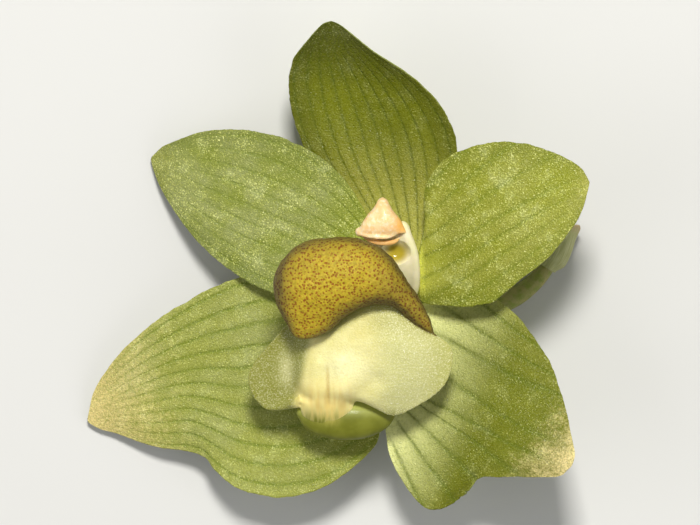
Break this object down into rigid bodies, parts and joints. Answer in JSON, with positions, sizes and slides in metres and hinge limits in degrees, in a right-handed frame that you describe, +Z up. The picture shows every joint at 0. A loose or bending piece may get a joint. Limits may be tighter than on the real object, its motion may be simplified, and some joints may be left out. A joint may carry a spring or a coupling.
{
  "type": "bulbophyllum orchid flower",
  "caption": "Picked orchid flower lying face up: sepals and petals round a column, a hinged lip with an arched spotted cap, and a short curved stalk.",
  "frame": {"origin": "on the surface that the flower lies on, under the middle of its box", "axes": "+Z up from the surface, towards the viewer of the open flower; +Y towards the dorsal sepal; +X to the right as one looks down on the flower"},
  "size_m": [0.0454, 0.0442, 0.0173],
  "materials": {
    "sepal_green": "matte, waxy",
    "petal_green": "matte, waxy",
    "sepal_pale_green": "matte, waxy",
    "lip_cream_and_mustard": "satin, waxy",
    "column_cream": "satin",
    "anther_peach": "satin",
    "stalk_green": "matte",
    "bract_straw": "matte, dry"
  },
  "bodies": {
    "root": {"dorsal_sepal": "sepal_green", "petal_left": "petal_green", "petal_right": "petal_green", "lateral_sepal_left": "sepal_pale_green", "lateral_sepal_right": "sepal_pale_green", "lip": "lip_cream_and_mustard", "column": "column_cream", "anther_cap": "anther_peach", "pedicel": "stalk_green", "bract": "bract_straw"}
  },
  "joints": []
}
